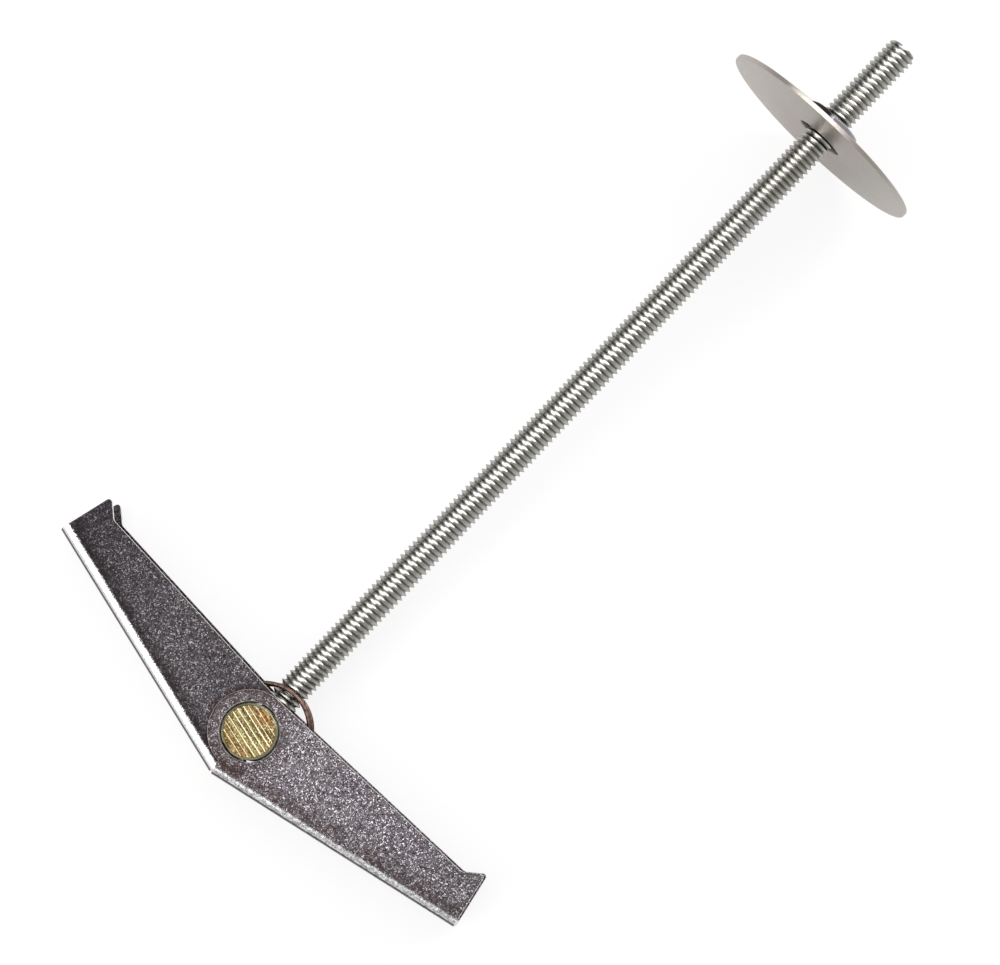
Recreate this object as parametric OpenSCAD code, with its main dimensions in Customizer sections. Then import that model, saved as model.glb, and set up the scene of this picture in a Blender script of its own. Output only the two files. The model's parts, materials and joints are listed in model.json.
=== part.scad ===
// Spring toggle bolt. A long threaded rod carries a cross bar on its inner end.
// Two folding channel wings turn on the ends of that bar, and a wire spring holds them open.
// A large washer and a hexagon nut sit on the rod's outer end.
// The bolt lies on the washer's rim and on the lower end of the cross bar.
//
// Every piece is drawn in the bolt's own axes: X runs along the rod towards its outer end,
// Z runs along the cross bar, and the origin is where the two cross. at_rest() then lays
// the whole bolt on the ground, with the origin under the middle of its box.

/* [Threaded rod] */
// Diameter over the thread crests
rod_d = 3.92; // [3:0.02:4.4]
// Length from end to end
rod_len = 115.8; // [108:0.2:160]
// How far the inner end stands past the cross bar
rod_past_bar = 0.2; // [0:0.1:0.6]
// Bevel at each end of the rod
rod_bevel = 0.4; // [0.1:0.05:0.8]

/* [Cross bar] */
// Diameter of the bar
bar_d = 6.7; // [6:0.1:7.2]
// How far each end of the bar stands out of the wings
bar_stand = 0.35; // [0.1:0.05:1]
// Bevel around each end of the bar
bar_bevel = 0.45; // [0.1:0.05:0.8]

/* [Wings] */
// Length of a wing, from the bar's axis to its tip
wing_len = 32.3; // [24:0.1:36]
// Outside width of one channel
wing_w = 8.4; // [8:0.1:11]
// Thickness of the sheet
sheet_t = 0.75; // [0.5:0.05:0.8]
// Outside radius of the two long bends
bend_r = 1.2; // [0.85:0.05:1.3]
// Distance from the bar's axis to the outer face of the web
web_off = 6.6; // [6.4:0.1:7.4]
// Radius of the rounded ears around the bar
ear_r = 4.95; // [4.2:0.05:5]
// Half of the angle between the two open wings
open_angle = 77; // [65:0.5:86]
// How far the open pair has turned on the bar towards the right wing
wing_lean = 1.5; // [-2:0.1:2]
// Angle between the open edges and the web
taper = 10.8; // [7:0.1:11.5]
// Length of the tooth at each tip
tooth_len = 2.4; // [1.5:0.1:4]
// Height of the tooth above the open edge
tooth_h = 1.3; // [0.8:0.1:2]
// Radius of the tooth's corner
tooth_r = 0.4; // [0.2:0.1:0.7]

/* [Spring] */
// Diameter of the wire
wire_d = 0.5; // [0.3:0.05:0.6]
// Radius of the coils, at the middle of the wire
coil_r = 5.3; // [5.2:0.05:5.5]
// How far the coils are shifted away from the webs
coil_shift = 1.4; // [0.6:0.1:1.4]
// How far the coils sag towards the right wing
coil_sag = 0.7; // [0:0.05:0.75]
// How far along each wing the legs reach
leg_reach = 11; // [8:0.5:20]

/* [Washer] */
// Outside diameter
washer_d = 27.4; // [22:0.1:34]
// Diameter of the hole
washer_hole_d = 6; // [4.6:0.1:7]
// Thickness
washer_t = 0.6; // [0.4:0.1:1.5]
// Broken edge around the rim and the hole
washer_edge = 0.12; // [0.05:0.01:0.15]
// Distance from the bar's axis to the washer's inner face
washer_at = 97.5; // [40:0.5:99]

/* [Nut] */
// Width across the flats
nut_af = 7; // [6.5:0.1:9]
// Height
nut_h = 2.2; // [2:0.1:4]
// How far the corners are turned off on each face
nut_bevel = 0.35; // [0.1:0.05:0.6]
// Turn of the nut's upper corner towards the left wing
nut_turn = 3; // [0:1:60]

/* [Fits] */
// Gap around the rod in the bar and in the nut
thread_gap = 0.04; // [0.01:0.01:0.08]
// Gap around the bar in the wings' ears
pivot_gap = 0.25; // [0.05:0.05:0.35]
// Gap between the ears of one wing and those of the other
ear_gap = 0.1; // [0.05:0.01:0.3]
// Gap between the webs' ends, half of it on each wing
web_gap = 0.1; // [0.04:0.02:0.4]
// Gap between the spring's legs and the webs
leg_gap = 0.03; // [0.01:0.01:0.1]
// Gap between the washer and the nut
nut_gap = 0.02; // [0.01:0.01:0.2]

/* [Hidden] */
$fn = 96;
edge_inset = 0.03;
over = 1;  // how far a cutting shape runs past the face that it cuts

zinc = [0.78, 0.78, 0.75];
dark_zinc = [0.45, 0.44, 0.45];
yellow_zinc = [0.75, 0.66, 0.35];
bronze_wire = [0.38, 0.30, 0.25];
satin_zinc = [0.74, 0.71, 0.66];

bore_d = rod_d + 2 * thread_gap;
ear_shift = (sheet_t + ear_gap) / 2;         // each wing's step along the bar, so that the ears pass
wings_w = wing_w + 2 * ear_shift;            // width over both wings
bar_len = wings_w + 2 * bar_stand;
rod_inner = -(bar_d / 2 + rod_past_bar);
rod_outer = rod_inner + rod_len;
web_in = web_off - sheet_t;                  // distance from the bar's axis to a web's inner face
web_end = web_in / tan(open_angle) - web_gap / 2;
nut_at = washer_at + washer_t + nut_gap;

// The bolt tips until the bar's lower edge and the washer's rim are level.
bar_foot = bar_d / 2 - bar_bevel;
rest_tilt = atan((washer_d / 2 - bar_len / 2) / (washer_at + washer_edge + bar_foot));
rest_lift = bar_foot * sin(rest_tilt) + bar_len / 2 * cos(rest_tilt);
function back_reach(angle) = web_off * sin(angle) + web_end * cos(angle);
head_back = -max(back_reach(open_angle + wing_lean), back_reach(open_angle - wing_lean));
box_x_min = head_back * cos(rest_tilt) - (wings_w / 2 - bend_r) * sin(rest_tilt);
box_x_max = rod_outer * cos(rest_tilt) + (rod_d / 2 - rod_bevel) * sin(rest_tilt);

module at_rest() {
    translate([-(box_x_min + box_x_max) / 2, 0, rest_lift])
        rotate([0, -rest_tilt, 0])
            children();
}

// The wings and the spring that holds them apart, turned together on the bar
module open_pair() {
    at_rest() rotate([0, 0, -wing_lean]) children();
}

// A solid of revolution about the rod. Its outline is given as [radius, distance along the rod].
module turned_on_rod(outline) {
    rotate([0, 90, 0]) rotate_extrude() polygon(outline);
}

// ---- Threaded rod: the plain cylinder over its crests, bevelled at both ends ----
module threaded_rod() {
    color(zinc) at_rest()
        turned_on_rod([
            [0, rod_inner],
            [rod_d / 2 - rod_bevel, rod_inner],
            [rod_d / 2, rod_inner + rod_bevel],
            [rod_d / 2, rod_outer - rod_bevel],
            [rod_d / 2 - rod_bevel, rod_outer],
            [0, rod_outer]
        ]);
}

// ---- Cross bar: a sawn round bar with bevelled ends, tapped across for the rod ----
module pivot_nut() {
    half = bar_len / 2;
    color(yellow_zinc) at_rest()
        difference() {
            rotate_extrude()
                polygon([
                    [0, -half],
                    [bar_foot, -half],
                    [bar_d / 2, bar_bevel - half],
                    [bar_d / 2, half - bar_bevel],
                    [bar_foot, half],
                    [0, half]
                ]);
            rotate([0, 90, 0]) cylinder(d = bore_d, h = bar_d + 2 * over, center = true);
        }
}

// ---- Wings ----
// A wing is drawn with X along its web to the tip and Y from the web to the open side.
// The open edge starts a hair inside the ear's circle, so that line and arc cross cleanly.
function open_edge(along) = (ear_r - edge_inset - along * sin(taper)) / cos(taper);

// Section of a block with two rounded lower corners, as [distance from the axis, width]
module bent_section(depth, width, radius) {
    tall = depth + ear_r + over;
    translate([radius - depth, -width / 2]) square([tall - radius, width]);
    translate([-depth, radius - width / 2]) square([radius + over, width - 2 * radius]);
    for (side = [-1, 1])
        translate([radius - depth, side * (width / 2 - radius)]) circle(r = radius);
}

module channel_section() {
    difference() {
        bent_section(web_off, wing_w, bend_r);
        bent_section(web_in, wing_w - 2 * sheet_t, bend_r - sheet_t);
    }
}

// Middle of the tooth's rounded corner
tooth_at = wing_len - tooth_len;
crest = [wing_len - tooth_r, open_edge(tooth_at) + tooth_h - tooth_r];

// Side view of a wing without its ear and its tooth's corner
module side_outline() {
    polygon([
        [-web_end, -web_off],
        [-web_end, 0],
        [0, open_edge(0)],
        [tooth_at, open_edge(tooth_at)],
        crest + (tooth_r - edge_inset) * [cos(115), sin(115)],
        crest,
        [wing_len - edge_inset, crest[1]],
        [wing_len, crest[1] - tooth_r],
        [wing_len, -web_off]
    ]);
}

module folded_sheet() {
    intersection() {
        translate([-web_end - over, 0, 0])
            rotate([0, 90, 0]) rotate([0, 0, 90])
                linear_extrude(wing_len + web_end + 2 * over) channel_section();
        translate([0, 0, -wing_w]) linear_extrude(2 * wing_w) side_outline();
    }
}

// Rounded corners of both flanges: the ears around the bar and the teeth at the tip
module flange_rounds() {
    for (side = [0, 1])
        mirror([0, 0, side]) translate([0, 0, wing_w / 2 - sheet_t]) {
            cylinder(r = ear_r, h = sheet_t);
            translate(crest) cylinder(r = tooth_r, h = sheet_t);
        }
}

// One stamping, stepped along the bar so that its ears pass those of the other wing
module wing() {
    translate([0, 0, ear_shift])
        difference() {
            union() {
                folded_sheet();
                flange_rounds();
            }
            cylinder(r = bar_d / 2 + pivot_gap, h = 2 * wing_w, center = true);
        }
}

module wing_right() {
    color(dark_zinc) open_pair() rotate([0, 0, -open_angle]) wing();
}

module wing_left() {
    color(dark_zinc) open_pair() rotate([180, 0, 0]) rotate([0, 0, -open_angle]) wing();
}

// ---- Spring: one wire with a coil on each side of the rod and a leg along each web ----
coil_mid = [coil_shift, -coil_sag];
coil_steps = 22;    // wire sections in each coil
cross_steps = 8;    // wire sections where the wire crosses behind the rod
wire_sides = 8;
leg_z = wing_w / 2 - ear_shift - sheet_t - wire_d / 2 - ear_gap;       // wire beside the inner ear
rod_side_z = rod_d / 2 + wire_d / 2 + thread_gap;                      // wire beside the rod
cross_z = leg_z - 1.3 * wire_d;                                        // wire leaving its coil
cross_angle = 22;   // half of the turn in which the wire crosses over

// End of a leg: side is 1 on the left wing and -1 on the right one.
function leg_end(side) =
    let (off = web_in - wire_d / 2 - leg_gap)
    leg_reach * [cos(open_angle), side * sin(open_angle)] + off * [-sin(open_angle), side * cos(open_angle)];

// Angle on the coil at which a straight leg to that end leaves it
function leg_angle(side) =
    let (away = leg_end(side) - coil_mid, far = norm(away))
    atan2(away[1], away[0]) + side * acos(coil_r / far);

function coil_point(angle, z) = [coil_mid[0] + coil_r * cos(angle), coil_mid[1] + coil_r * sin(angle), z];
function smooth(t) = t * t * (3 - 2 * t);

// Height of the wire along one coil: beside the ear where the leg joins it, past the rod at
// half way, and then nearer to the rod's end.
function coil_z(t) =
    t < 0.5 ? leg_z + (rod_side_z - leg_z) * smooth(2 * t)
            : rod_side_z + (cross_z - rod_side_z) * smooth(2 * t - 1);

first_angle = leg_angle(1);
last_angle = leg_angle(-1) + (leg_angle(-1) < 0 ? 360 : 0) + 720;
near_end = 540 - cross_angle;
far_start = 540 + cross_angle;
wire_route = concat(
    [[leg_end(1)[0], leg_end(1)[1], leg_z]],
    [for (i = [0 : coil_steps])
        let (t = i / coil_steps) coil_point(first_angle + t * (near_end - first_angle), coil_z(t))],
    [for (i = [1 : cross_steps - 1])
        let (t = i / cross_steps) coil_point(near_end + 2 * t * cross_angle, cross_z * (1 - 2 * smooth(t)))],
    [for (i = [coil_steps : -1 : 0])
        let (t = i / coil_steps) coil_point(last_angle - t * (last_angle - far_start), -coil_z(t))],
    [[leg_end(-1)[0], leg_end(-1)[1], -leg_z]]
);

function unit(v) = v / norm(v);

// Ring of points around the route at one place, square to the wire
function wire_ring(route, i) =
    let (
        before = route[max(i - 1, 0)],
        after = route[min(i + 1, len(route) - 1)],
        ahead = unit(after - before),
        side = unit(cross(ahead, [0, 0, 1])),
        up = cross(side, ahead)
    )
    [for (k = [0 : wire_sides - 1])
        let (a = 360 * k / wire_sides) route[i] + wire_d / 2 * (cos(a) * side + sin(a) * up)];

module wire(route) {
    count = len(route);
    points = [for (i = [0 : count - 1]) each wire_ring(route, i)];
    skin = [for (i = [0 : count - 2], k = [0 : wire_sides - 1])
        let (a = i * wire_sides + k, b = i * wire_sides + (k + 1) % wire_sides)
        [a, a + wire_sides, b + wire_sides, b]];
    first_cap = [for (k = [0 : wire_sides - 1]) k];
    last_cap = [for (k = [wire_sides - 1 : -1 : 0]) (count - 1) * wire_sides + k];
    polyhedron(points = points, faces = concat([first_cap], skin, [last_cap]));
}

module spring() {
    color(bronze_wire) open_pair() wire(wire_route);
}

// ---- Washer ----
module washer() {
    outer = washer_d / 2;
    inner = washer_hole_d / 2;
    e = washer_edge;
    color(satin_zinc) at_rest()
        translate([washer_at, 0, 0])
            turned_on_rod([
                [inner + e, 0], [outer - e, 0], [outer, e], [outer, washer_t - e],
                [outer - e, washer_t], [inner + e, washer_t], [inner, washer_t - e], [inner, e]
            ]);
}

// ---- Hexagon nut, with its corners turned off on both faces and its bore countersunk ----
module hex_nut() {
    corner_r = nut_af / 2 / cos(30);
    face_r = nut_af / 2 - nut_bevel / 4;                     // where the turned corners meet the face
    slope = nut_bevel / (corner_r - face_r);
    wide_r = corner_r + over;
    sink = nut_bevel + thread_gap;
    color(zinc) at_rest()
        translate([nut_at, 0, 0]) rotate([-nut_turn, 0, 0])
            difference() {
                intersection() {
                    rotate([0, 90, 0]) cylinder(r = corner_r, h = nut_h, $fn = 6);
                    turned_on_rod([
                        [0, -over],
                        [face_r - over / slope, -over],
                        [face_r, 0],
                        [wide_r, slope * (wide_r - face_r)],
                        [wide_r, nut_h - slope * (wide_r - face_r)],
                        [face_r, nut_h],
                        [face_r - over / slope, nut_h + over],
                        [0, nut_h + over]
                    ]);
                }
                turned_on_rod([
                    [0, -over],
                    [bore_d / 2 + sink + over, -over],
                    [bore_d / 2, sink],
                    [bore_d / 2, nut_h - sink],
                    [bore_d / 2 + sink + over, nut_h + over],
                    [0, nut_h + over]
                ]);
            }
}

threaded_rod();
pivot_nut();
wing_left();
wing_right();
spring();
washer();
hex_nut();
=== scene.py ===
"""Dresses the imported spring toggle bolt: its thread, sheet steel, wire, finishes and studio.

Every piece is drawn in the bolt's own axes: X runs along the rod to its outer end, Z runs along
the cross bar, and the origin is where the two cross. Lengths are in metres, angles in radians.
"""

import json
import math
import random
from types import SimpleNamespace

import bmesh
import bpy
from mathutils import Matrix, Vector
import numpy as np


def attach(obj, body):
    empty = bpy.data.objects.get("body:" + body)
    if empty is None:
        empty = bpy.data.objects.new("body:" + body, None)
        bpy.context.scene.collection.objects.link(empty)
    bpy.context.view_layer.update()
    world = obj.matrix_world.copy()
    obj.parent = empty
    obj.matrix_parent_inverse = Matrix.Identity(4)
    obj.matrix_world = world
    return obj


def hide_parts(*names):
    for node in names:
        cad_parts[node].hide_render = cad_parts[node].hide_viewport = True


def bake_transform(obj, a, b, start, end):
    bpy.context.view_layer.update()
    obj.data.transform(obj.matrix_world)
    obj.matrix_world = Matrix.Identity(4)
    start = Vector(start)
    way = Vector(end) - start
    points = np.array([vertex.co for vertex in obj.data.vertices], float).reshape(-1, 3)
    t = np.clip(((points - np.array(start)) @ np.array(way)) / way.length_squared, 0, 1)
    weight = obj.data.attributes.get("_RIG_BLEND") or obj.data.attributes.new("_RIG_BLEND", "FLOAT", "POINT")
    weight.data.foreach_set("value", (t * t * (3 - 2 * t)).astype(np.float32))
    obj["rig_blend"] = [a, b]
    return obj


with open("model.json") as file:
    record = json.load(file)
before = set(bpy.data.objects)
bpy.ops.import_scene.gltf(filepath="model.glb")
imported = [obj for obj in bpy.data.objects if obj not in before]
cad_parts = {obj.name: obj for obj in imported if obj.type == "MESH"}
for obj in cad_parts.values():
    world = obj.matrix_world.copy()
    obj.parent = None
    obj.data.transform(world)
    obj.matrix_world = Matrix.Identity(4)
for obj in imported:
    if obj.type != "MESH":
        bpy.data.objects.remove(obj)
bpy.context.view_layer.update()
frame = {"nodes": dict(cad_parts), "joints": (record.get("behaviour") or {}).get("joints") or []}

bl_info = {
    "name": "Spring Toggle Bolt",
    "version": (1, 0, 0),
    "blender": (4, 5, 0),
    "location": "View3D > Sidebar > Toggle Bolt",
    "description": "Builds a spring toggle bolt: rod, cross bar, wings, spring, washer and nut",
    "category": "Mesh",
}

MM = 0.001
TURN = 2 * math.pi
WELD = 0.001 * MM  # Corners closer than this are one corner
JOINTS = {joint["name"]: joint for joint in frame["joints"]}


# ---- The bolt's axes and sizes, read from the frame ----

def axes_at(point, along, up):
    """Axes at a point, with X along one direction and Z along another."""
    along = Vector(along).normalized()
    up = Vector(up).normalized()
    axes = Matrix((along, up.cross(along), up)).transposed().to_4x4()
    axes.translation = Vector(point)
    return axes


def turned(axes, angle, about="Z"):
    """The axes, turned about one of their own."""
    return axes @ Matrix.Rotation(angle, 4, about)


BOLT = axes_at(JOINTS["head_turn"]["pos_m"], JOINTS["head_turn"]["axis"],
               JOINTS["right_wing_fold"]["axis"])
LEFT_FOLD, RIGHT_FOLD = (math.radians(JOINTS[side + "_wing_fold"]["range_deg"][1])
                         for side in ("left", "right"))
OPEN_ANGLE = (LEFT_FOLD + RIGHT_FOLD) / 2
# The open pair of wings, with its spring, has turned a little on the bar.
PAIR = turned(BOLT, (LEFT_FOLD - RIGHT_FOLD) / 2)
RIGHT_WING = turned(PAIR, -OPEN_ANGLE)
LEFT_WING = turned(turned(PAIR, math.pi, "X"), -OPEN_ANGLE)


def points_of(node, axes):
    """The corners of a CAD node's mesh in the given axes."""
    to_axes = axes.inverted()
    return [to_axes @ vertex.co for vertex in frame["nodes"][node].data.vertices]


def extent(node, axes=BOLT):
    """Lowest and highest corner of a CAD node in the given axes."""
    points = points_of(node, axes)
    low = Vector([min(p[i] for p in points) for i in range(3)])
    high = Vector([max(p[i] for p in points) for i in range(3)])
    return low, high


def radii(node):
    """Least and greatest distance of a CAD node's corners from the rod's axis."""
    distances = [math.hypot(p.y, p.z) for p in points_of(node, BOLT)]
    return min(distances), max(distances)


ROD_LOW, ROD_HIGH = extent("threaded_rod")
CREST_R = radii("threaded_rod")[1]
BAR_LOW, BAR_HIGH = extent("pivot_nut")
BAR_R = BAR_HIGH.y
WASHER_LOW, WASHER_HIGH = extent("washer")
WASHER_HOLE_R, WASHER_R = radii("washer")
NUT_LOW, NUT_HIGH = extent("hex_nut")
WING_LOW, WING_HIGH = extent("wing_right", RIGHT_WING)
WING_WIDTH = WING_HIGH.z - WING_LOW.z
EAR_SHIFT = (WING_HIGH.z + WING_LOW.z) / 2


# ---- Sizes and colours that a user would change ----

def linear(display):
    """Linear light for a display colour given from 0 to 255."""
    def one(value):
        share = value / 255
        return share / 12.92 if share <= 0.04045 else ((share + 0.055) / 1.055) ** 2.4
    return tuple(one(value) for value in display)


def setting(kind, convert, **fixed):
    """A maker of properties of one kind, each from a name, a description and a default."""
    return lambda name, description, default: kind(
        name=name, description=description, default=convert(default), **fixed)


# Defaults are given in millimetres, in degrees and as display colours.
length = setting(bpy.props.FloatProperty, lambda default: default * MM, min=0.0, precision=5,
                 subtype="DISTANCE", unit="LENGTH")
angle = setting(bpy.props.FloatProperty, math.radians, subtype="ANGLE", unit="ROTATION")
count = setting(bpy.props.IntProperty, int, min=1)
colour = setting(bpy.props.FloatVectorProperty, linear, size=3, min=0.0, max=1.0, subtype="COLOR")


class ThreadSizes(bpy.types.PropertyGroup):
    """The rolled thread of the rod and the cut thread of the nut."""
    pitch: length("Pitch", "Distance from one crest to the next", 0.7)
    depth: length("Depth", "Height of a crest over the root", 0.4)
    bevel: length("End bevel", "How far each end of the rod is turned down", 0.43)
    bore_gap: length("Bore gap", "Gap between the crests and the cross bar's bore", 0.04)
    segments: count("Segments", "Faces around one turn", 36)
    rows: count("Rows", "Faces from one crest to the next", 12)


class BarSizes(bpy.types.PropertyGroup):
    """The sawn cross bar."""
    bevel: length("Bevel", "Width of the broken edge around each end", 0.32)
    saw_lines: count("Saw lines", "Lines that the saw left across each end", 44)
    saw_depth: length("Saw depth", "Depth of the deepest saw line", 0.06)
    saw_turn: angle("Saw direction", "Turn of the saw lines from the bolt's Y axis", -13.5)


class WingSizes(bpy.types.PropertyGroup):
    """The folded sheet steel wings."""
    sheet: length("Sheet", "Thickness of the sheet", 0.75)
    bend: length("Bend", "Outside radius of the long bends", 1.2)
    ear: length("Ear", "Radius of the ears around the bar", 4.95)
    hole_gap: length("Hole gap", "Gap between the bar and the ears", 0.25)
    taper: angle("Taper", "Angle between the open edges and the web", 10.8)
    tooth_length: length("Tooth length", "Length of the tooth at the tip", 2.4)
    tooth_height: length("Tooth height", "Height of the tooth above the open edge", 1.3)
    tooth_corner: length("Tooth corner", "Radius of the tooth's corner", 0.4)
    tooth_root: length("Tooth root", "Radius where the open edge turns up to the tooth", 0.9)
    edge: length("Edge", "Width of the broken edge along the sheared sides", 0.25)


class SpringSizes(bpy.types.PropertyGroup):
    """The wire spring inside the wings."""
    wire: length("Wire", "Diameter of the wire", 0.5)
    coil: length("Coil", "Radius of the coils at the middle of the wire", 5.3)
    shift: length("Shift", "How far the coils are shifted away from the webs", 1.4)
    sag: length("Sag", "How far the coils sag towards the right wing", 0.7)
    leg: length("Leg", "How far along each wing the legs reach", 11.0)
    leg_gap: length("Leg gap", "Gap between the legs and the webs", 0.03)
    side_gap: length("Side gap", "Gap between the wire and the ear beside it", 0.1)
    rod_gap: length("Rod gap", "Gap between the coils and the rod", 0.04)
    crossing: angle("Crossing", "Turn to each side of the middle of the wire's crossing", 22)


class FastenerSizes(bpy.types.PropertyGroup):
    """The washer and the hexagon nut."""
    washer_roll: length("Washer roll", "Rounding of the washer's edge on the punched side", 0.16)
    washer_break: length("Washer edge", "Broken edge of the washer's other side", 0.05)
    nut_flats: length("Across flats", "Width of the nut across its flats", 7.0)
    nut_turn: angle("Nut turn", "Turn of the nut's upper corner towards the left wing", 3)
    nut_sink: length("Countersink", "Depth of the nut's countersinks", 0.39)
    nut_root_gap: length("Root gap", "Gap between the rod's crests and the nut's roots", 0.03)
    nut_crest_gap: length("Crest gap", "Gap between the nut's crests and the rod's roots", 0.06)


class Finishes(bpy.types.PropertyGroup):
    """Colours of the finishes, and of light and shade painted on them."""
    rod: colour("Rod", "Bright zinc of the rod", (206, 202, 194))
    # Painted shade: the zinc is darkened at the root of the thread, where the grooves lie in shade
    rod_root: colour("Rod root", "Zinc at the root of the thread", (86, 88, 88))
    wing: colour("Wing", "Dull zinc of the flanges", (112, 107, 109))
    wing_dark: colour("Wing dark", "Darkest grains of the flanges", (24, 20, 22))
    # Brightest grains, also painted glints of the spangle
    wing_spark: colour("Wing spark", "Brightest grains of the flanges", (238, 236, 240))
    # Real brown stain beside the bends, and painted shade around the hole and along the ear
    wing_brown: colour("Wing brown", "Stain beside the bends and the hole", (50, 37, 33))
    # Painted sheen: the bends and webs are painted bright where they mirror the bright room
    wing_bend: colour("Wing bend", "Burnished zinc of the bends and webs", (232, 232, 234))
    # Painted highlight along the sheared edges
    wing_edge: colour("Wing edge", "Sheared edges", (248, 240, 236))
    bar_gold: colour("Bar gold", "Yellow passivated zinc", (130, 106, 62))
    bar_green: colour("Bar green", "Greenish part of the passivation", (134, 136, 92))
    bar_brown: colour("Bar brown", "Orange part of the passivation", (126, 82, 48))
    bar_line: colour("Bar line", "Crests left by the saw", (252, 246, 216))
    wire: colour("Wire", "Oiled wire", (120, 98, 88))
    washer: colour("Washer", "Satin zinc", (206, 197, 190))
    nut: colour("Nut", "Plain zinc of the nut", (206, 204, 210))


# Films, stains and wear over the finishes, painted shade, sheen and highlights, and the room
TONE = SimpleNamespace(**{name: linear(display) for name, display in {
    "rod_film": (168, 174, 166), "rod_grain": (140, 140, 132),
    "flange_cloud": (70, 66, 70), "flange_drift": (150, 144, 152),
    # Tints of the flange's grains and of their painted glints
    "spark_blue": (196, 206, 236), "spark_pink": (244, 214, 204),
    # Painted shade towards the bend and the tip, and a painted dark reflection low on the bend
    "bend_shade": (22, 20, 20), "tip_shade": (22, 20, 22), "bend_line": (30, 28, 30),
    # The web tone is a painted reflection on the web; its mottle and the shear marks are the sheet's own
    # marks
    "web": (184, 172, 162), "web_mottle": (70, 68, 72), "shear_mark": (150, 128, 120),
    "saw_groove": (70, 54, 28), "bar_pit": (58, 46, 28), "bar_fleck": (206, 206, 160),
    # The bar's rim tone is a painted highlight on its broken edge
    "bar_rim": (214, 216, 180), "wire_oil": (70, 54, 50),
    "washer_pink": (206, 194, 188), "washer_green": (200, 200, 190),
    "washer_grain": (150, 142, 136), "nut_mark": (150, 146, 152), "nut_stain": (62, 44, 44),
    "bore_oil": (24, 20, 20),
    "horizon": (200, 200, 200), "overhead": (150, 150, 152), "dark_strip": (92, 86, 86),
}.items()})


class StudioSizes(bpy.types.PropertyGroup):
    """Camera and floor."""
    lens: bpy.props.FloatProperty(
        name="Lens", description="Focal length of the camera in millimetres", default=146.8)
    distance: length("Distance", "From the camera to the point that it aims at", 483.6)
    aim: bpy.props.FloatVectorProperty(
        name="Aim", description="Point in the bolt's axes that the camera aims at",
        default=(0.04155, -0.00074, 0.0), size=3, precision=4, subtype="TRANSLATION",
        unit="LENGTH")
    roll: angle("Roll", "Turn of the picture about the camera's axis", -46.42)
    lean_in: angle("Lean in", "Lean of the camera from the bar's axis to the wings", 2.21)
    lean_right: angle("Lean right", "Lean of the camera from the bar's axis to the right", 5.18)
    floor: length("Floor", "Side of the square floor", 4000)


GROUPS = {
    "bolt_thread": ThreadSizes, "bolt_bar": BarSizes, "bolt_wing": WingSizes,
    "bolt_spring": SpringSizes, "bolt_fastener": FastenerSizes, "bolt_finish": Finishes,
    "bolt_studio": StudioSizes}


# ---- Node trees ----

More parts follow.
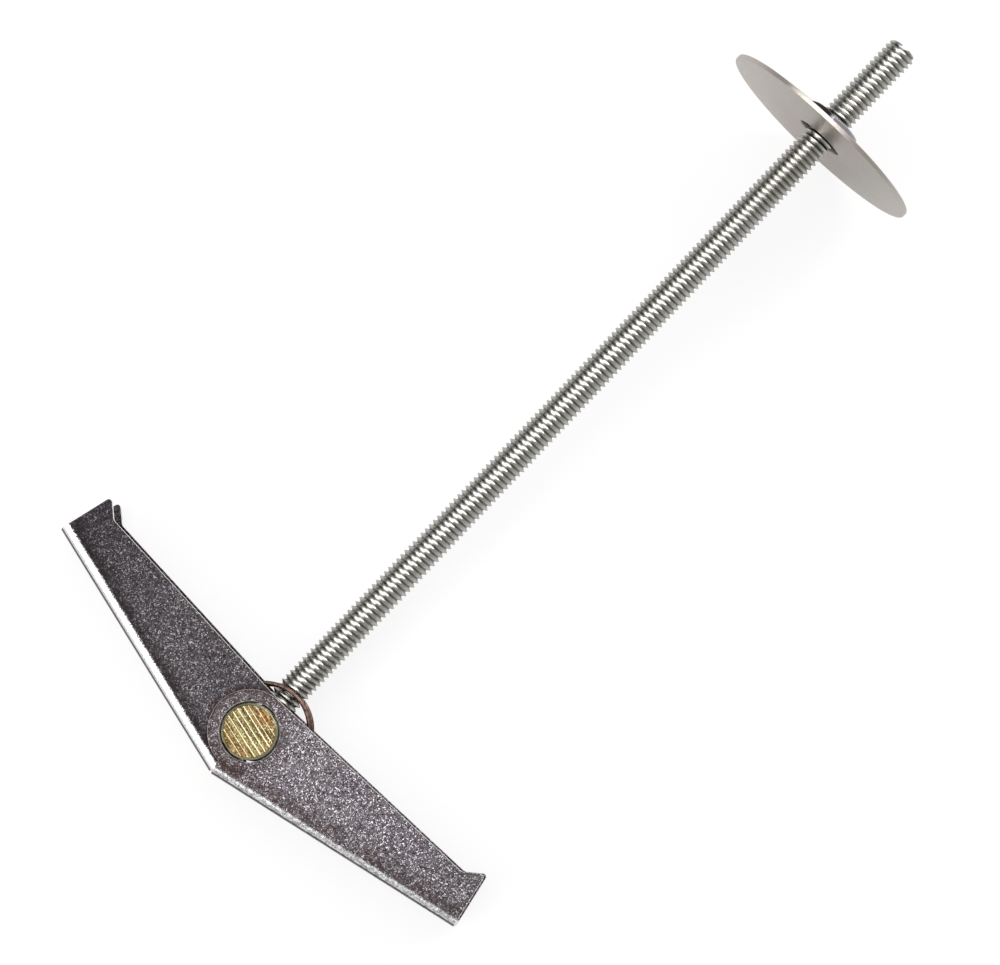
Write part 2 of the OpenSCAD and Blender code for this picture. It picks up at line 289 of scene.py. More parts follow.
class Graph:
    """Adds nodes to one tree and links them. An input may be a socket or a plain value."""

    def __init__(self, tree):
        self.tree = tree

    def plug(self, socket, value):
        if isinstance(value, bpy.types.NodeSocket):
            self.tree.links.new(value, socket)
        elif value is not None:
            socket.default_value = value

    def add(self, kind, inputs=(), **settings):
        """A node with its settings, and its inputs given as (name or number, value) pairs."""
        node = self.tree.nodes.new(kind)
        for key, value in settings.items():
            setattr(node, key, value)
        for key, value in inputs:
            self.plug(node.inputs[key], value)
        return node

    def out(self, kind, inputs=(), **settings):
        """The first output of a new node."""
        return self.add(kind, inputs, **settings).outputs[0]

    def math(self, operation, *values):
        return self.out("ShaderNodeMath", enumerate(values), operation=operation)

    def plus(self, first, second):
        return self.math("ADD", first, second)

    def minus(self, first, second):
        return self.math("SUBTRACT", first, second)

    def times(self, first, second):
        return self.math("MULTIPLY", first, second)

    def rescale(self, value, low, high, to_low=0.0, to_high=1.0):
        """Maps low to high onto to_low to to_high, and holds the ends."""
        inputs = enumerate((value, low, high, to_low, to_high))
        return self.out("ShaderNodeMapRange", inputs)

    def vector(self, operation, *values):
        node = self.add("ShaderNodeVectorMath", enumerate(values), operation=operation)
        return node.outputs["Value" if operation in ("DOT_PRODUCT", "LENGTH") else "Vector"]

    def split(self, vector):
        return self.add("ShaderNodeSeparateXYZ", [(0, vector)]).outputs

    def reach(self, where, kept):
        """Distance from an axis. The two directions across it are kept by a 1."""
        return self.vector("LENGTH", self.vector("MULTIPLY", where, kept))

    def mix(self, factor, first, second, blend="MIX"):
        """A mix of two colours, each a socket or three linear values."""
        full = [value if isinstance(value, bpy.types.NodeSocket) else (*value, 1.0)
                for value in (first, second)]
        inputs = [(0, factor), (6, full[0]), (7, full[1])]
        return self.add("ShaderNodeMix", inputs, data_type="RGBA", blend_type=blend).outputs[2]

    def lay(self, tone, over, value, low, high, most=1.0):
        """Lays one colour over another where a value goes from low to high."""
        return self.mix(self.rescale(value, low, high, 0.0, most), tone, over)

    def noise(self, vector, size, detail=2.0, stretch=None):
        """Noise from 0 to 1 with features of about that size."""
        if stretch is not None:
            vector = self.out("ShaderNodeMapping",
                              [("Vector", vector), ("Scale", stretch)])
        return self.out("ShaderNodeTexNoise", [
            ("Vector", vector), ("Scale", 1 / size), ("Detail", detail)])

    def grains(self, vector, size):
        """Two random values for each grain of about that size."""
        cells = self.add("ShaderNodeTexVoronoi", [("Vector", vector), ("Scale", 1 / size)])
        parts = self.add("ShaderNodeSeparateColor", [(0, cells.outputs["Color"])]).outputs
        return parts[0], parts[1]

    def in_axes(self, axes):
        """Object coordinates turned into the given axes, so that a pattern follows the piece."""
        back = axes.inverted()
        where = self.add("ShaderNodeTexCoord").outputs["Object"]
        return self.out("ShaderNodeMapping", [
            ("Vector", where), ("Location", back.translation),
            ("Rotation", back.to_euler("XYZ"))])

    def bump(self, height, depth, normal=None):
        return self.out("ShaderNodeBump", [
            ("Height", height), ("Distance", depth), ("Normal", normal)])

    def rounder(self, axes, lean):
        """The face's normal, leaning straight out from an axis. Faces across it keep their own."""
        where = self.add("ShaderNodeTexCoord").outputs["Object"]
        reach = self.vector("SUBTRACT", where, axes.translation)
        along = self.vector("PROJECT", reach, axes.col[0].xyz)
        out = self.vector("NORMALIZE", self.vector("SUBTRACT", reach, along))
        out = self.out("ShaderNodeVectorTransform", [(0, out)], vector_type="VECTOR",
                       convert_from="OBJECT", convert_to="WORLD")
        facing = self.add("ShaderNodeNewGeometry").outputs["Normal"]
        share = self.rescale(self.vector("DOT_PRODUCT", facing, out), 0.1, 0.3, 0.0, lean)
        push = self.out("ShaderNodeVectorMath", [(0, out), ("Scale", share)],
                        operation="SCALE")
        return self.vector("NORMALIZE", self.vector("ADD", facing, push))

    def metal(self, tone, roughness, normal=None, metallic=1.0):
        """Gives the tree's shader its colour, roughness and normal."""
        inputs = self.tree.nodes["Principled BSDF"].inputs
        for name, value in (("Base Color", tone), ("Metallic", metallic),
                            ("Roughness", roughness), ("Normal", normal)):
            self.plug(inputs[name], value)


def new_surface(name):
    """A material, the graph of its nodes and the colours of the finishes."""
    material = bpy.data.materials.new(name)
    material.use_nodes = True
    return material, Graph(material.node_tree), bpy.context.scene.bolt_finish


def geometry_tree(name, inputs):
    """A Geometry Nodes tree with named inputs, given as names and kinds."""
    tree = bpy.data.node_groups.new(name, "GeometryNodeTree")
    tree.interface.new_socket("Geometry", in_out="INPUT", socket_type="NodeSocketGeometry")
    tree.interface.new_socket("Geometry", in_out="OUTPUT", socket_type="NodeSocketGeometry")
    for label, kind in inputs.items():
        tree.interface.new_socket(label, in_out="INPUT", socket_type="NodeSocket" + kind)
    return tree, Graph(tree), tree.nodes.new("NodeGroupInput").outputs


def end_tree(graph, geometry, material):
    """Ends a tree with Realize Instances and Set Material."""
    realized = graph.out("GeometryNodeRealizeInstances", [(0, geometry)])
    painted = graph.out("GeometryNodeSetMaterial", [(0, realized), ("Material", material)])
    graph.add("NodeGroupOutput", [(0, painted)])


def run_tree(tree, values, start_mesh):
    """Runs a Geometry Nodes tree on a mesh with its inputs set, and returns the plain mesh."""
    holder = new_object("holder", start_mesh)
    modifier = holder.modifiers.new("tree", "NODES")
    modifier.node_group = tree
    sockets = {item.name: item.identifier for item in tree.interface.items_tree
               if item.in_out == "INPUT"}
    for label, value in values.items():
        modifier[sockets[label]] = value
    return applied(holder)


# ---- Thread: rows of a grid wound into a helix, drawn together at crest and root ----

def thread_tree():
    tree, g, given = geometry_tree("thread", {
        "Crest Radius": "Float", "Root Radius": "Float", "Pitch": "Float", "Start": "Float",
        "End": "Float", "Mouth Radius": "Float", "Segments": "Int", "Rows": "Int",
        "Inside": "Bool", "Material": "Material"})
    crest_flat, root_flat, gather = 0.1, 0.16, 0.5
    start, end, mouth = given["Start"], given["End"], given["Mouth Radius"]
    turns = g.math("CEIL", g.math("DIVIDE", g.minus(end, start), given["Pitch"]))
    turns = g.plus(turns, 2)
    grid = g.out("GeometryNodeMeshGrid", [
        ("Size X", 1.0), ("Size Y", 1.0), ("Vertices X", g.plus(given["Segments"], 1)),
        ("Vertices Y", g.plus(g.times(turns, given["Rows"]), 1))])
    place = g.split(g.out("GeometryNodeInputPosition"))
    around = g.plus(place[0], 0.5)
    wound = g.times(g.plus(place[1], 0.5), turns)
    wound = g.math("DIVIDE", g.math("ROUND", g.times(wound, given["Rows"])), given["Rows"])
    whole = g.math("FLOOR", g.plus(wound, 0.0001))
    part = g.minus(wound, whole)
    part = g.minus(part, g.times(g.math("SINE", g.times(part, 2 * TURN)), gather / (2 * TURN)))
    along = g.plus(g.plus(whole, part), g.minus(around, 1.0))
    along = g.plus(start, g.times(along, given["Pitch"]))
    along = g.math("MINIMUM", g.math("MAXIMUM", along, start), end)

    height = g.times(g.math("ABSOLUTE", g.minus(part, 0.5)), 2)
    share = g.rescale(height, root_flat, 1 - crest_flat)
    rise = g.minus(given["Crest Radius"], given["Root Radius"])
    radius = g.plus(given["Root Radius"], g.times(rise, share))
    from_end = g.math("MINIMUM", g.minus(along, start), g.minus(end, along))
    turned_down = g.math("MINIMUM", radius, g.plus(mouth, from_end))
    sunk = g.math("MAXIMUM", radius, g.minus(mouth, from_end))
    radius = g.out("GeometryNodeSwitch", [
        ("Switch", given["Inside"]), ("False", turned_down), ("True", sunk)],
        input_type="FLOAT")

    turn = g.times(around, TURN)
    where = g.out("ShaderNodeCombineXYZ", enumerate((
        along, g.times(radius, g.math("COSINE", turn)), g.times(radius, g.math("SINE", turn)))))
    marked = g.out("GeometryNodeStoreNamedAttribute", [
        ("Geometry", grid), ("Name", "crest"), ("Value", share)],
        data_type="FLOAT", domain="POINT")
    helix = g.out("GeometryNodeSetPosition", [("Geometry", marked), ("Position", where)])
    welded = g.out("GeometryNodeMergeByDistance", [
        ("Geometry", helix), ("Distance", 2 * WELD)])
    end_tree(g, welded, given["Material"])
    return tree


def thread_mesh(crest, root, start, end, mouth, material, inside=False):
    sizes = bpy.context.scene.bolt_thread
    return run_tree(thread_tree(), {
        "Crest Radius": crest, "Root Radius": root, "Pitch": sizes.pitch, "Start": start,
        "End": end, "Mouth Radius": mouth, "Segments": sizes.segments, "Rows": sizes.rows,
        "Inside": inside, "Material": material}, bpy.data.meshes.new("thread"))


# ---- Meshes and objects ----

def arc(centre, radius, first, last, steps):
    """Points along an arc in a plane, both ends included."""
    turns = [first + (last - first) * i / steps for i in range(steps + 1)]
    return [(centre[0] + radius * math.cos(a), centre[1] + radius * math.sin(a)) for a in turns]


def rounded(before, corner, after, radius, steps):
    """Points along the arc that rounds a corner between two straight sides."""
    corner = Vector(corner)
    back = (Vector(before) - corner).normalized()
    ahead = (Vector(after) - corner).normalized()
    half = back.angle(ahead) / 2
    centre = corner + (back + ahead).normalized() * radius / math.sin(half)
    first = (corner + back * radius / math.tan(half) - centre).normalized()
    last = (corner + ahead * radius / math.tan(half) - centre).normalized()
    return [tuple(centre + radius * first.slerp(last, i / steps)) for i in range(steps + 1)]


def smooth(t):
    """Eases a share from 0 to 1."""
    return t * t * (3 - 2 * t)


def even_turns(steps):
    return [TURN * i / steps for i in range(steps)]


def skin(bm, rows, closed=False, flipped=False):
    """Joins each row of corners to the next by faces, and the last to the first if closed."""
    for row, after in zip(rows, rows[1:] + rows[:1] if closed else rows[1:]):
        for i in range(len(row) - 1):
            corners = [row[i], after[i], after[i + 1], row[i + 1]]
            bm.faces.new(corners[:1] + corners[:0:-1] if flipped else corners)


def revolved(outline, turns, axis="X", layer=None):
    """A surface of revolution from an outline of (radius, distance along the axis) points."""
    bm = bmesh.new()
    if layer is not None:
        bm.verts.layers.float.new(layer)
    rings = []
    for turn in turns:
        across, up = math.cos(turn), math.sin(turn)
        rings.append([bm.verts.new((d, r * across, r * up) if axis == "X"
                                   else (r * across, r * up, d)) for r, d in outline])
    skin(bm, rings, closed=True)
    return bm, rings


def outward(bm):
    bmesh.ops.recalc_face_normals(bm, faces=bm.faces)


def open_mesh(mesh):
    """A mesh's corners and faces, open to edits."""
    bm = bmesh.new()
    bm.from_mesh(mesh)
    return bm


def to_mesh(bm, name):
    mesh = bpy.data.meshes.new(name)
    bm.to_mesh(mesh)
    bm.free()
    return mesh


def new_object(name, data):
    """An object in the scene."""
    item = bpy.data.objects.new(name, data)
    bpy.context.scene.collection.objects.link(item)
    return item


def applied(holder):
    """The plain mesh of an object with its modifiers applied. The object is removed."""
    evaluated = holder.evaluated_get(bpy.context.evaluated_depsgraph_get())
    mesh = bpy.data.meshes.new_from_object(evaluated)
    bpy.data.objects.remove(holder)
    return mesh


def finish_piece(name, mesh, axes, materials, body, nodes=(), sharp=30):
    """Places a mesh in the frame, shades it, and makes it a piece that rides on its body."""
    mesh.name = name
    mesh.transform(axes)
    for i, material in enumerate(materials):
        if i < len(mesh.materials):
            mesh.materials[i] = material
        else:
            mesh.materials.append(material)
    mesh.shade_smooth()
    if sharp is not None:
        mesh.set_sharp_from_angle(angle=math.radians(sharp))
    piece = new_object(name, mesh)
    if body is not None:
        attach(piece, body)
    if nodes:
        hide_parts(*nodes)
    return piece


# ---- Finishes ----

def rod_zinc():
    """Bright zinc with fine grain, and painted shade down in the thread."""
    material, g, finish = new_surface("rod_zinc")
    where = g.in_axes(BOLT)
    crest = g.add("ShaderNodeAttribute", attribute_name="crest").outputs["Fac"]
    blotch = g.noise(where, 1.6 * MM, 3)
    grain = g.noise(where, 0.12 * MM, 2)
    # Painted shade in the roots of the thread
    tone = g.lay(finish.rod_root, finish.rod, crest, 0.05, 0.65)
    tone = g.lay(tone, TONE.rod_film, blotch, 0.35, 0.75, 0.3)
    tone = g.lay(tone, TONE.rod_grain, grain, 0.3, 0.7, 0.25)
    g.metal(tone, g.rescale(grain, 0.3, 0.7, 0.16, 0.3),
            g.bump(grain, 0.004 * MM, g.rounder(BOLT, 1.5)))
    return material


def flange_zinc(name, axes, shade, mottle):
    """Dull spangled zinc of a wing, with its bends and web painted bright as a sheen.

    Shade is painted shade that darkens the flange towards the bend and the tip. Mottle, from 0 to 1,
    is how much of the dull zinc is left in patches on the painted sheen of the bends and the web.
    """
    sizes = bpy.context.scene.bolt_wing
    material, g, finish = new_surface(name)
    where = g.in_axes(axes)
    x, y, z = g.split(where)
    first, second = g.grains(where, 0.17 * MM)
    fine, tint = g.grains(where, 0.1 * MM)
    cloud = g.noise(where, 0.9 * MM, 3)
    drift = g.noise(where, 7 * MM, 2)
    fold = WING_LOW.y + sizes.bend

    # A dense dark grain with bright specks: the grain's own tones, and painted glints of the spangle
    flange = g.lay(finish.wing_dark, finish.wing, first, 0.0, 0.9)
    flange = g.lay(flange, TONE.flange_cloud, cloud, 0.3, 0.7, 0.55)
    glint = g.times(g.rescale(fine, 0.68, 0.9), g.rescale(second, 0.25, 0.8))
    tinted = g.lay(TONE.spark_blue, TONE.spark_pink, tint, 0.2, 0.8)
    flange = g.mix(glint, flange, g.mix(0.55, tinted, finish.wing_spark))

    # Painted shade in brown around the hole, and a ring of painted shade along the ear's edge, where one ear
    # lies over the other
    from_bar = g.reach(where, (1.0, 1.0, 0.0))
    hole_shade = g.times(g.rescale(from_bar, 3.6 * MM, 5.4 * MM, 0.6, 0.0), g.rescale(cloud, 0.3, 0.6))
    flange = g.mix(hole_shade, flange, finish.wing_brown)
    ring = g.math("ABSOLUTE", g.minus(from_bar, sizes.ear))
    ring = g.times(g.rescale(ring, 0.9 * MM, 0.1 * MM), g.rescale(cloud, 0.25, 0.5, 0.3, 0.75))
    if mottle:
        ring = g.times(ring, g.rescale(x, 3 * MM, 1 * MM))
    flange = g.mix(ring, flange, finish.wing_brown)
    flange = g.mix(g.rescale(drift, 0.35, 0.7, 0.0, 0.35), flange, TONE.flange_drift,
                   "SOFT_LIGHT")

    # Brown stain beside the bend, and painted shade towards the bend and the tip
    stain = g.times(g.rescale(y, fold + 2.2 * MM, fold + 0.7 * MM), g.rescale(cloud, 0.3, 0.55))
    flange = g.mix(g.times(stain, 0.6), flange, finish.wing_brown)
    flange = g.lay(flange, TONE.bend_shade, y, fold + 1.6 * MM, fold, shade)
    far = g.rescale(x, 0.45 * WING_HIGH.x, WING_HIGH.x, shade, shade + 0.25)
    flange = g.mix(far, flange, TONE.tip_shade)

    # Painted sheen on the bend and the web, with a painted dark reflection low on the bend
    deep = g.minus(WING_WIDTH / 2, g.math("ABSOLUTE", g.minus(z, EAR_SHIFT)))
    # Painted dark reflection of the shade under the part, in a band low on the bend
    line = g.times(g.rescale(deep, 0.38 * MM, 0.46 * MM), g.rescale(deep, 0.74 * MM, 0.64 * MM))
    bright = g.lay(finish.wing_bend, TONE.web, deep, 0.4 * MM, 0.6 * MM)
    patch = g.rescale(g.noise(where, 0.4 * MM, 3), 0.42, 0.6)
    bright = g.mix(g.times(patch, mottle * 0.55), bright, TONE.web_mottle)
    bright = g.mix(g.times(line, 0.85), bright, TONE.bend_line)
    ragged = g.plus(y, g.times(g.minus(fine, 0.5), 0.25 * MM))
    start = fold - mottle * 0.3 * MM
    sheen_share = g.rescale(ragged, start + 0.12 * MM, start - 0.12 * MM)

    rough = g.minus(g.rescale(first, 0.0, 1.0, 0.3, 0.5), g.times(sheen_share, 0.14))
    height = g.plus(first, g.times(fine, 0.6))
    g.metal(g.mix(sheen_share, flange, bright), rough, g.bump(height, 0.012 * MM))
    return material


def sheared_edge():
    """Sheared steel under thin zinc, painted pale and nearly matt as a painted highlight, with marks of the
    shear across the edge.
    """
    material, g, finish = new_surface("sheared_edge")
    marks = g.noise(g.in_axes(BOLT), 0.25 * MM, 3)
    tone = g.lay(finish.wing_edge, TONE.shear_mark, marks, 0.35, 0.7, 0.2)
    g.metal(tone, 0.35, g.bump(marks, 0.01 * MM), metallic=0.1)
    return material


def yellow_zinc():
    """Yellow passivated zinc: gold, green and orange drift, and the saw's crests are pale."""
    material, g, finish = new_surface("yellow_zinc")
    where = g.in_axes(turned(BOLT, bpy.context.scene.bolt_bar.saw_turn))
    streak = g.noise(where, 0.22 * MM, 3, stretch=(1.0, 0.08, 1.0))
    band = g.noise(where, 0.9 * MM, 2, stretch=(1.0, 0.1, 1.0))
    drift = g.noise(where, 1.8 * MM, 2)
    speck, other = g.grains(where, 0.13 * MM)
    saw = g.add("ShaderNodeAttribute", attribute_name="saw").outputs["Fac"]
    across = g.math("ABSOLUTE", g.minus(g.split(where)[0], 0.3 * MM))
    tone = g.lay(finish.bar_green, finish.bar_gold, across, 0.8 * MM, 2.0 * MM)
    tone = g.lay(tone, finish.bar_brown, band, 0.35, 0.65, 0.7)
    tone = g.lay(tone, finish.bar_brown, drift, 0.5, 0.7, 0.6)
    tone = g.lay(tone, TONE.saw_groove, streak, 0.44, 0.54, 0.85)
    tone = g.lay(tone, TONE.bar_pit, speck, 0.5, 1.0, 0.75)
    tone = g.lay(tone, TONE.bar_fleck, other, 0.75, 1.0, 0.5)
    # Painted highlight on the broken edge around each end
    out = g.reach(where, (1.0, 1.0, 0.0))
    tone = g.lay(tone, TONE.bar_rim, out, BAR_R - 0.32 * MM, BAR_R - 0.2 * MM, 0.55)
    tone = g.lay(tone, finish.bar_line, saw, 0.75, 0.95)
    g.metal(tone, g.rescale(speck, 0.3, 0.7, 0.24, 0.42),
            g.bump(g.plus(streak, g.times(speck, 0.4)), 0.02 * MM))
    return material


def oiled_wire():
    """Drawn spring wire under a patchy brown film of oil."""
    material, g, finish = new_surface("oiled_wire")
    film = g.noise(g.in_axes(BOLT), 0.5 * MM, 3)
    tone = g.lay(finish.wire, TONE.wire_oil, film, 0.3, 0.7)
    g.metal(tone, g.rescale(film, 0.3, 0.7, 0.22, 0.4))
    return material


def satin_zinc():
    """Satin zinc of the washer, with a faint pink and green film and fine grain."""
    material, g, finish = new_surface("satin_zinc")
    where = g.in_axes(BOLT)
    film = g.noise(where, 5 * MM, 2)
    grain = g.noise(where, 0.18 * MM, 3)
    tone = g.lay(TONE.washer_pink, TONE.washer_green, film, 0.35, 0.65)
    tone = g.mix(0.5, tone, finish.washer)
    tone = g.lay(tone, TONE.washer_grain, grain, 0.3, 0.7, 0.2)
    g.metal(tone, g.rescale(grain, 0.3, 0.7, 0.3, 0.42), g.bump(grain, 0.003 * MM))
    return material


def nut_zinc():
    """Plain zinc of the nut, with drawn marks, painted shade on one side and painted shade around its bore.
    """
    material, g, finish = new_surface("nut_zinc")
    where = g.in_axes(BOLT)
    marks = g.noise(where, 0.3 * MM, 3, stretch=(0.2, 1.0, 1.0))
    tone = g.lay(finish.nut, TONE.nut_mark, marks, 0.3, 0.7, 0.4)
    # Painted shade on the side of the nut towards +Y
    tone = g.lay(tone, TONE.nut_stain, g.split(where)[1], 0.1 * MM, 0.7 * MM, 0.92)
    # Painted shade on the nut's face inside the washer's hole
    from_rod = g.reach(where, (0.0, 1.0, 1.0))
    tone = g.lay(tone, TONE.bore_oil, from_rod, WASHER_HOLE_R + 0.15 * MM, WASHER_HOLE_R)
    g.metal(tone, g.rescale(marks, 0.3, 0.7, 0.22, 0.4), g.bump(marks, 0.006 * MM))
    return material


# ---- Operators, one for each piece or group of like pieces ----

class BOLT_OT_rod(bpy.types.Operator):
    """Winds the thread of the rod and closes its ends"""
    bl_idname = "toggle_bolt.rod"
    bl_label = "Threaded rod"

    def execute(self, context):
        sizes = context.scene.bolt_thread
        material = rod_zinc()
        bm = open_mesh(thread_mesh(CREST_R, CREST_R - sizes.depth, ROD_LOW.x, ROD_HIGH.x,
                                   CREST_R - sizes.bevel, material))
        rims = [edge for edge in bm.edges if edge.is_boundary]
        ends = bmesh.ops.holes_fill(bm, edges=rims, sides=0)["faces"]
        dish = bmesh.ops.inset_individual(bm, faces=ends, thickness=0.3 * MM)["faces"]
        outward(bm)
        for face in ends + dish:
            face.smooth = False
        finish_piece("rod_thread", to_mesh(bm, "rod"), BOLT, [material], "rod",
                     ["threaded_rod"], 75)
        return {"FINISHED"}


class BOLT_OT_cross_bar(bpy.types.Operator):
    """Turns the cross bar, saws its ends and bores it for the rod"""
    bl_idname = "toggle_bolt.cross_bar"
    bl_label = "Cross bar"

    def execute(self, context):
        sizes = context.scene.bolt_bar
        draw = random.Random(7)
        lines = sizes.saw_lines
        face_r = BAR_R - sizes.bevel
        reach = 0.985 * face_r
        # Distance of each saw line from the middle, and its height from 0 to 1
        offsets = [reach * (2 * (k + draw.uniform(0.25, 0.75)) / lines - 1) for k in range(lines)]
        heights = [draw.uniform(0.0, 0.55) for _ in offsets]
        for k in range(3, lines - 2, 5):
            heights[k + draw.randrange(2)] = draw.uniform(0.9, 1.0)
        half_turns = [math.acos(offset / face_r) for offset in offsets]
        turns = sorted(half_turns + [TURN - half for half in half_turns])
        round_off = sizes.bevel * 0.35
        side = [(face_r, 0.0)]
        side += arc((BAR_R - round_off, sizes.bevel), round_off, -math.pi / 4, 0.0, 3)
        low = [(r, BAR_LOW.z + d) for r, d in side]
        high = [(r, BAR_HIGH.z - d) for r, d in reversed(side)]
        middle = [(BAR_R, BAR_LOW.z + (BAR_HIGH.z - BAR_LOW.z) * i / 12) for i in range(2, 11)]
        bm, rings = revolved(low + middle + high, turns, axis="Z", layer="saw")
        for end, depth in ((0, sizes.saw_depth), (-1, -sizes.saw_depth)):
            self.saw_face(bm, [ring[end] for ring in rings], turns, half_turns, heights, depth)
        outward(bm)
        bar = to_mesh(bm, "bar")
        bar.transform(turned(BOLT, sizes.saw_turn))
        finish_piece("cross_bar", self.bored(context, bar), Matrix.Identity(4), [yellow_zinc()],
                     "head", ["pivot_nut"], 24)
        return {"FINISHED"}

    @staticmethod
    def saw_face(bm, rim, turns, half_turns, heights, depth):
        """Covers one end with strips between its saw lines, each a row of corners."""
        steps = 6
        saw = bm.verts.layers.float["saw"]
        rows = []
        for half, height in zip(half_turns, heights):
            first, last = rim[turns.index(half)], rim[turns.index(TURN - half)]
            first[saw] = last[saw] = height
            row = [first]
            for i in range(1, steps):
                sunk = Vector((0, 0, depth * (1 - height)))
                row.append(bm.verts.new(first.co.lerp(last.co, i / steps) + sunk))
                row[-1][saw] = height
            rows.append(row + [last])
        skin(bm, rows)

    @staticmethod
    def bored(context, mesh):
        """The bar with the hole for the rod cut across it."""
        drill_r = CREST_R + context.scene.bolt_thread.bore_gap
        reach = 2 * BAR_R
        bm, rings = revolved([(drill_r, -reach), (drill_r, reach)], even_turns(64))
        for end in (0, 1):
            bm.faces.new([ring[end] for ring in rings])
        outward(bm)
        drill = new_object("drill", to_mesh(bm, "drill"))
        drill.data.transform(BOLT)
        holder = new_object("holder", mesh)
        cut = holder.modifiers.new("cut", "BOOLEAN")
        cut.operation = "DIFFERENCE"
        cut.object = drill
        result = applied(holder)
        bpy.data.objects.remove(drill)
        return result


class BOLT_OT_wings(bpy.types.Operator):
    """Folds the two wings from sheet"""
    bl_idname = "toggle_bolt.wings"
    bl_label = "Wings"

    def execute(self, context):
        edge = sheared_edge()
        # Shade is painted shade, much stronger on the left wing
        for side, axes, shade, mottle in (("right", RIGHT_WING, 0.0, 1.0),
                                          ("left", LEFT_WING, 0.55, 0.0)):
            zinc = flange_zinc("spangled_zinc_" + side, axes, shade, mottle)
            finish_piece("folded_wing_" + side, self.folded(context, axes), Matrix.Identity(4),
                         [zinc, edge], side + "_wing", ["wing_" + side], None)
        return {"FINISHED"}

    def folded(self, context, axes):
        """One wing: two flat flanges joined by two bends and the web, and given thickness."""
        sizes = context.scene.bolt_wing
        stations, bend_steps, web_steps = 56, 8, 6
        half = WING_WIDTH / 2
        flat = half - sizes.bend
        fold = WING_LOW.y + sizes.bend
        # The web starts where the other wing's web ends, and runs to the tip.
        inner = 0.05 * MM - (-WING_LOW.y - sizes.sheet) / math.tan(OPEN_ANGLE)
        along = [inner + (WING_HIGH.x - inner) * i / stations for i in range(stations + 1)]
        bend = arc((flat, fold), sizes.bend, 0.0, -math.pi / 2, bend_steps)
        section = [(y, z) for z, y in bend]
        section += [(WING_LOW.y, flat * (1 - 2 * i / web_steps)) for i in range(1, web_steps)]
        section += [(y, -z) for z, y in reversed(bend)]

        bm = bmesh.new()
        rows = [[bm.verts.new((x, y, z + EAR_SHIFT)) for x in along] for y, z in section]
        skin(bm, rows, flipped=True)
        self.flange(bm, sizes, rows[0], half + EAR_SHIFT)
        self.flange(bm, sizes, rows[-1], EAR_SHIFT - half)
        outward(bm)
        web = min(bm.faces, key=lambda face: face.calc_center_median().y)
        if web.normal.y > 0:
            bmesh.ops.reverse_faces(bm, faces=bm.faces)

        holder = new_object("holder", to_mesh(bm, "sheet"))
        holder.data.transform(axes)
        holder.data.shade_smooth()
        for _ in ("flanges", "edges"):
            holder.data.materials.append(None)
        wall = holder.modifiers.new("wall", "SOLIDIFY")
        wall.thickness = sizes.sheet
        wall.offset = -1
        wall.use_even_offset = True
        wall.material_offset_rim = 1
        broken = holder.modifiers.new("broken", "BEVEL")
        broken.width = sizes.edge
        broken.segments = 3
        broken.limit_method = "ANGLE"
        broken.angle_limit = math.radians(50)
        broken.harden_normals = True
        broken.material = 1
        return applied(holder)

    @staticmethod
    def flange(bm, sizes, fold_row, level):
        """Fills one flange from the fold to its outline: ear, open edge and tooth, and hole."""
        inner, tip = fold_row[0].co, fold_row[-1].co
        tooth_x = tip.x - sizes.tooth_length
        open_edge = (sizes.ear - tooth_x * math.sin(sizes.taper)) / math.cos(sizes.taper)
        outline = arc((0.0, 0.0), sizes.ear, -math.acos(inner.x / sizes.ear),
                      math.pi / 2 - sizes.taper - TURN, 44)
        base = (tooth_x, open_edge)
        peak = (tip.x, open_edge + sizes.tooth_height)
        shoulder = (tip.x - sizes.tooth_corner * 1.6, peak[1])
        outline += rounded(outline[-1], base, shoulder, sizes.tooth_root, 6)
        outline += rounded(base, peak, (tip.x, open_edge), sizes.tooth_corner, 8)
        hole = arc((0.0, 0.0), BAR_R + sizes.hole_gap, 0, TURN, 64)[:-1]
        rim, hole = ([bm.verts.new((x, y, level)) for x, y in points] for points in (outline, hole))
        edges = []
        for ring in (list(fold_row) + rim[::-1], hole):
            for start, end in zip(ring, ring[1:] + ring[:1]):
                edges.append(bm.edges.get((start, end)) or bm.edges.new((start, end)))
        bmesh.ops.triangle_fill(bm, use_beauty=True, edges=edges)


def wire_tree():
    tree, g, given = geometry_tree("wire", {
        "Wire Radius": "Float", "Sides": "Int", "Material": "Material"})
    route = g.out("GeometryNodeMeshToCurve", [(0, given["Geometry"])])
    ring = g.out("GeometryNodeCurvePrimitiveCircle", [
        ("Resolution", given["Sides"]), ("Radius", given["Wire Radius"])],
        mode="RADIUS")
    tube = g.out("GeometryNodeCurveToMesh", [
        ("Curve", route), ("Profile Curve", ring), ("Fill Caps", True)])
    end_tree(g, tube, given["Material"])
    return tree


